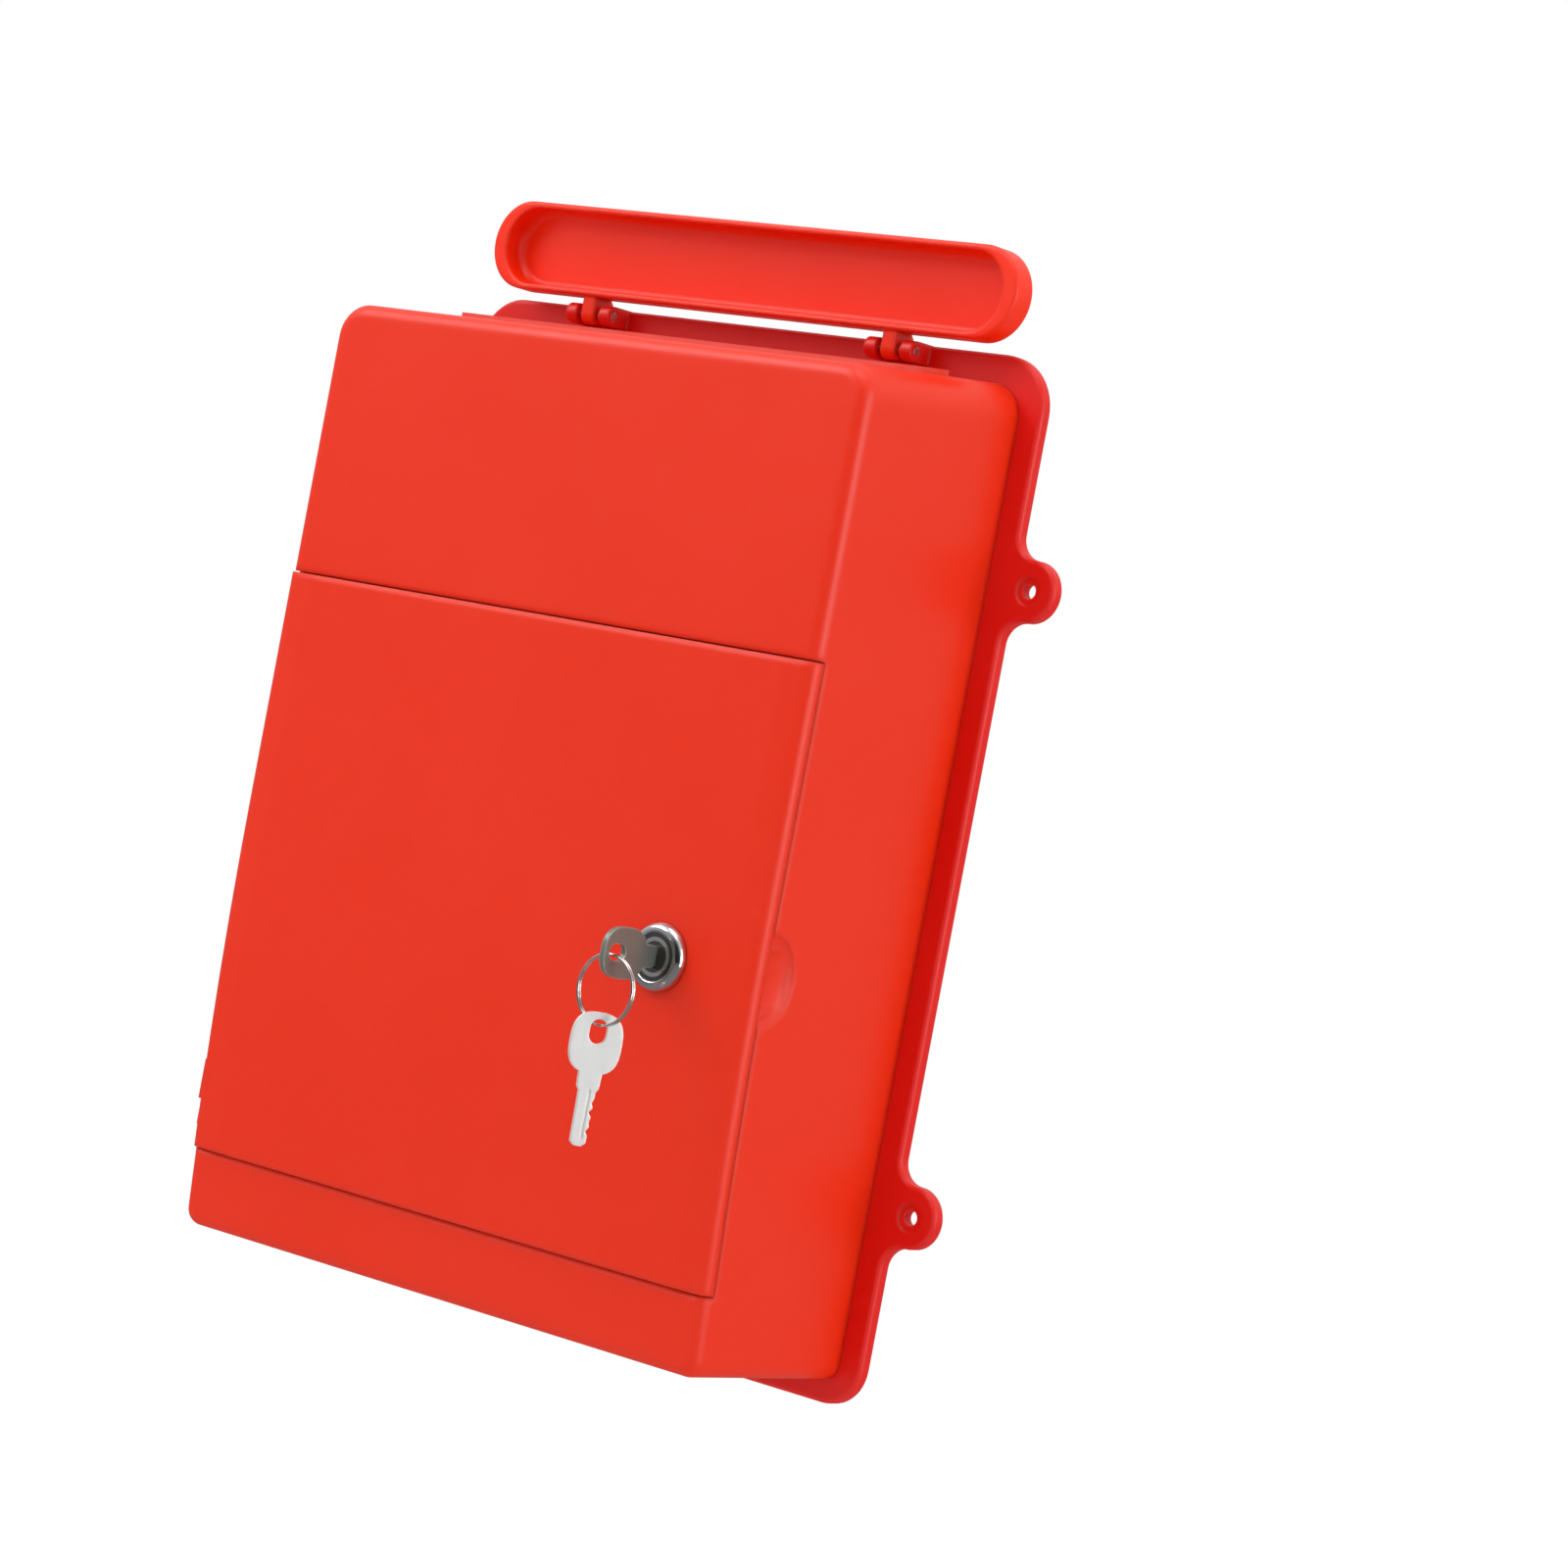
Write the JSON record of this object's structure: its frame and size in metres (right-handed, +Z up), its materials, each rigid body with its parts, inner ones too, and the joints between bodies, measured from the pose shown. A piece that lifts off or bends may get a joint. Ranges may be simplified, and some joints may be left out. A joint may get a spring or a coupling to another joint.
{
  "type": "wall mounted post box",
  "caption": "Red lockable wall post box with a hinged front door, a raised flap over the letter slot on top, a cam lock with its key in it, and a spare key on a ring.",
  "frame": {"origin": "middle of the four fixing holes, on the plane of the wall", "axes": "+X to the viewer's right, +Y into the wall, +Z up"},
  "size_m": [0.297, 0.1189, 0.39],
  "materials": {
    "red_plate": "satin moulded plastic",
    "red_shell": "satin moulded plastic",
    "red_door": "satin moulded plastic",
    "red_flap": "satin moulded plastic",
    "pin_steel": "plain zinc-plated steel",
    "lock_chrome": "bright chrome plate",
    "lock_steel": "plain zinc-plated steel",
    "plug_steel": "satin nickel plate",
    "wafer_brass": "stamped brass",
    "cam_steel": "stamped zinc-plated steel",
    "key_nickel": "nickel-plated brass",
    "ring_steel": "bright steel wire"
  },
  "bodies": {
    "housing": {"back_plate": "red_plate", "front_shell": "red_shell", "shell_screws": "pin_steel", "flap_pin_left": "pin_steel", "flap_pin_right": "pin_steel", "hinge_pin_high": "pin_steel", "hinge_pin_low": "pin_steel"},
    "door_leaf": {"door": "red_door", "lock_housing": "lock_chrome", "lock_nut": "lock_steel", "lock_washer": "lock_steel"},
    "flap": {"slot_flap": "red_flap"},
    "plug": {"lock_plug": "plug_steel", "lock_wafers": "wafer_brass", "lock_cam": "cam_steel", "cam_washer": "lock_steel", "cam_screw": "lock_steel"},
    "key": {"inserted_key": "key_nickel"},
    "ring": {"key_ring": "ring_steel"},
    "spare_key": {"hanging_key": "key_nickel"}
  },
  "joints": [
    {"name": "door_hinge", "type": "hinge", "parent": "housing", "child": "door_leaf", "pos_m": [-0.121, -0.078, 0], "axis": [0, 0, -1], "range_deg": [0, 110]},
    {"name": "flap_hinge", "type": "hinge", "parent": "housing", "child": "flap", "pos_m": [0, -0.012, 0.179], "axis": [1, 0, 0], "range_deg": [0, 95]},
    {"name": "key_turn", "type": "hinge", "parent": "door_leaf", "child": "plug", "pos_m": [0.081, -0.0875, -0.0345], "axis": [0, -1, 0], "range_deg": [0, 90]},
    {"name": "key_slide", "type": "slide", "parent": "plug", "child": "key", "axis": [0, -1, 0], "range_m": [0, 0.018]},
    {"name": "ring_swing", "type": "hinge", "parent": "key", "child": "ring", "pos_m": [0.081, -0.1108, -0.0345], "axis": [1, 0, 0], "range_deg": [-60, 8]},
    {"name": "spare_key_swing", "type": "hinge", "parent": "ring", "child": "spare_key", "pos_m": [0.081, -0.1108, -0.0581], "axis": [1, 0, 0], "range_deg": [-60, 8]}
  ]
}
